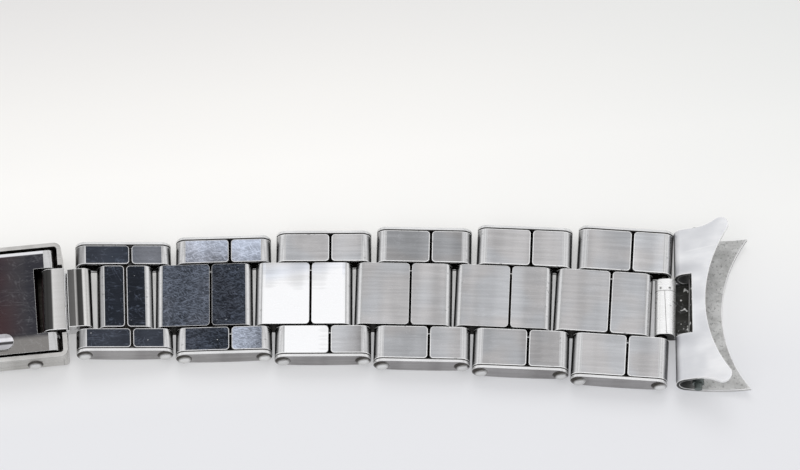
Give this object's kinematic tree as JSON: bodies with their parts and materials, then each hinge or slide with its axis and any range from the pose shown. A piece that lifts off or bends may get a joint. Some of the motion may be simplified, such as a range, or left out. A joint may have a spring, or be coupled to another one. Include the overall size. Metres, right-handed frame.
{
  "type": "watch bracelet",
  "caption": "Riveted three-row link watch bracelet of folded sheet steel, tapering from curved end pieces on spring bars to a fold-over clasp with two folding blades.",
  "frame": {"origin": "middle of the clasp cover's flat outer face, on which the bracelet lies", "axes": "+X along the bracelet towards the longer side, +Z out of the wrist side, +Y across, away from the picture's viewer"},
  "size_m": [0.1691, 0.0248, 0.0045],
  "materials": {
    "brushed_steel_links": "lengthwise brushed, worn, polished edges",
    "brushed_steel_plates": "fine brushed sides with polished rims",
    "polished_rivets": "polished domed heads",
    "polished_loop": "bright, scratched",
    "end_piece_steel": "satin, grey and rough inside",
    "spring_bar_steel": "dull dark steel",
    "clasp_steel": "brushed outside, bright rims",
    "blade_steel": "dark polished sheet with bright cut edges"
  },
  "bodies": {
    "clasp": {"clasp_cover": "clasp_steel", "cover_hinge_rivet": "polished_rivets", "adjust_spring_bar": "spring_bar_steel"},
    "middle_blade": {"middle_blade": "blade_steel"},
    "inner_blade": {"inner_blade": "blade_steel", "blade_hinge_pin": "polished_rivets", "connector_pin": "polished_rivets"},
    "long_connector": {"long_connector": "brushed_steel_links"},
    "long_link_1": {"long_outer_links_1": "brushed_steel_links", "long_side_plates_1": "brushed_steel_plates", "long_rivet_pins_1": "polished_rivets", "long_filler_link": "brushed_steel_links"},
    "long_link_2": {"long_outer_links_2": "brushed_steel_links", "long_side_plates_2": "brushed_steel_plates", "long_rivet_pins_2": "polished_rivets", "long_centre_link_2": "brushed_steel_links"},
    "long_link_3": {"long_outer_links_3": "brushed_steel_links", "long_side_plates_3": "brushed_steel_plates", "long_rivet_pins_3": "polished_rivets", "long_centre_link_3": "brushed_steel_links"},
    "long_link_4": {"long_outer_links_4": "brushed_steel_links", "long_side_plates_4": "brushed_steel_plates", "long_rivet_pins_4": "polished_rivets", "long_centre_link_4": "brushed_steel_links"},
    "long_link_5": {"long_outer_links_5": "brushed_steel_links", "long_side_plates_5": "brushed_steel_plates", "long_rivet_pins_5": "polished_rivets", "long_centre_link_5": "brushed_steel_links"},
    "long_link_6": {"long_outer_links_6": "brushed_steel_links", "long_side_plates_6": "brushed_steel_plates", "long_rivet_pins_6": "polished_rivets", "long_centre_link_6": "brushed_steel_links"},
    "long_end_loop": {"long_end_loop": "polished_loop"},
    "long_end_piece": {"long_end_link": "end_piece_steel", "long_spring_bar": "spring_bar_steel"},
    "short_connector": {"short_connector": "brushed_steel_links"},
    "short_link_1": {"short_outer_links_1": "brushed_steel_links", "short_side_plates_1": "brushed_steel_plates", "short_rivet_pins_1": "polished_rivets", "short_filler_link": "brushed_steel_links"},
    "short_link_2": {"short_outer_links_2": "brushed_steel_links", "short_side_plates_2": "brushed_steel_plates", "short_rivet_pins_2": "polished_rivets", "short_centre_link_2": "brushed_steel_links"},
    "short_link_3": {"short_outer_links_3": "brushed_steel_links", "short_side_plates_3": "brushed_steel_plates", "short_rivet_pins_3": "polished_rivets", "short_centre_link_3": "brushed_steel_links"},
    "short_link_4": {"short_outer_links_4": "brushed_steel_links", "short_side_plates_4": "brushed_steel_plates", "short_rivet_pins_4": "polished_rivets", "short_centre_link_4": "brushed_steel_links"},
    "short_link_5": {"short_outer_links_5": "brushed_steel_links", "short_side_plates_5": "brushed_steel_plates", "short_rivet_pins_5": "polished_rivets", "short_centre_link_5": "brushed_steel_links"},
    "short_end_loop": {"short_end_loop": "polished_loop"},
    "short_end_piece": {"short_end_link": "end_piece_steel", "short_spring_bar": "spring_bar_steel"}
  },
  "joints": [
    {"name": "clasp_hinge", "type": "hinge", "parent": "clasp", "child": "middle_blade", "pos_m": [0.0145, 0, 0.00132], "axis": [0, 1, 0], "range_deg": [0, 135]},
    {"name": "blade_hinge", "type": "hinge", "parent": "middle_blade", "child": "inner_blade", "pos_m": [-0.0035, 0, 0.00194], "axis": [0, 1, 0], "range_deg": [-135, 0]},
    {"name": "long_connector_hinge", "type": "hinge", "parent": "inner_blade", "child": "long_connector", "pos_m": [0.0165, 0, 0.00194], "axis": [0, 1, 0], "range_deg": [-30, 8]},
    {"name": "long_link_1_hinge", "type": "hinge", "parent": "long_connector", "child": "long_link_1", "pos_m": [0.02, -0.00009, 0.00194], "axis": [0.0523, 0.9986, 0], "range_deg": [-30, 8]},
    {"name": "long_link_2_hinge", "type": "hinge", "parent": "long_link_1", "child": "long_link_2", "pos_m": [0.02824, -0.00052, 0.00105], "axis": [0.0523, 0.9986, 0], "range_deg": [-30, 8]},
    {"name": "long_link_3_hinge", "type": "hinge", "parent": "long_link_2", "child": "long_link_3", "pos_m": [0.03861, -0.00134, 0.00105], "axis": [0.0785, 0.9969, 0], "range_deg": [-30, 8]},
    {"name": "long_link_4_hinge", "type": "hinge", "parent": "long_link_3", "child": "long_link_4", "pos_m": [0.04895, -0.00243, 0.00105], "axis": [0.1045, 0.9945, 0], "range_deg": [-30, 8]},
    {"name": "long_link_5_hinge", "type": "hinge", "parent": "long_link_4", "child": "long_link_5", "pos_m": [0.05926, -0.00378, 0.00105], "axis": [0.1305, 0.9914, 0], "range_deg": [-30, 8]},
    {"name": "long_link_6_hinge", "type": "hinge", "parent": "long_link_5", "child": "long_link_6", "pos_m": [0.06953, -0.00541, 0.00105], "axis": [0.1564, 0.9877, 0], "range_deg": [-30, 8]},
    {"name": "long_end_loop_hinge", "type": "hinge", "parent": "long_link_6", "child": "long_end_loop", "pos_m": [0.07976, -0.00731, 0.00105], "axis": [0.1822, 0.9833, 0], "range_deg": [-25, 8]},
    {"name": "long_end_piece_hinge", "type": "hinge", "parent": "long_end_loop", "child": "long_end_piece", "pos_m": [0.08326, -0.00786, 0.0017], "axis": [0.1305, 0.9914, 0], "range_deg": [-15, 6]},
    {"name": "short_connector_hinge", "type": "hinge", "parent": "clasp", "child": "short_connector", "pos_m": [-0.0162, 0, 0.00194], "axis": [0, 1, 0], "range_deg": [-8, 30]},
    {"name": "short_link_1_hinge", "type": "hinge", "parent": "short_connector", "child": "short_link_1", "pos_m": [-0.0197, -0.00009, 0.00194], "axis": [-0.0523, 0.9986, 0], "range_deg": [-8, 30]},
    {"name": "short_link_2_hinge", "type": "hinge", "parent": "short_link_1", "child": "short_link_2", "pos_m": [-0.02794, -0.00052, 0.00105], "axis": [-0.0523, 0.9986, 0], "range_deg": [-8, 30]},
    {"name": "short_link_3_hinge", "type": "hinge", "parent": "short_link_2", "child": "short_link_3", "pos_m": [-0.03831, -0.00134, 0.00105], "axis": [-0.0785, 0.9969, 0], "range_deg": [-8, 30]},
    {"name": "short_link_4_hinge", "type": "hinge", "parent": "short_link_3", "child": "short_link_4", "pos_m": [-0.04865, -0.00243, 0.00105], "axis": [-0.1045, 0.9945, 0], "range_deg": [-8, 30]},
    {"name": "short_link_5_hinge", "type": "hinge", "parent": "short_link_4", "child": "short_link_5", "pos_m": [-0.05896, -0.00378, 0.00105], "axis": [-0.1305, 0.9914, 0], "range_deg": [-8, 30]},
    {"name": "short_end_loop_hinge", "type": "hinge", "parent": "short_link_5", "child": "short_end_loop", "pos_m": [-0.06923, -0.00541, 0.00105], "axis": [-0.1564, 0.9877, 0], "range_deg": [-8, 25]},
    {"name": "short_end_piece_hinge", "type": "hinge", "parent": "short_end_loop", "child": "short_end_piece", "pos_m": [-0.07274, -0.00587, 0.0017], "axis": [-0.1045, 0.9945, 0], "range_deg": [-6, 15]}
  ],
  "couplings": [
    {"joint": "blade_hinge", "follows": "clasp_hinge", "ratio": -1}
  ]
}
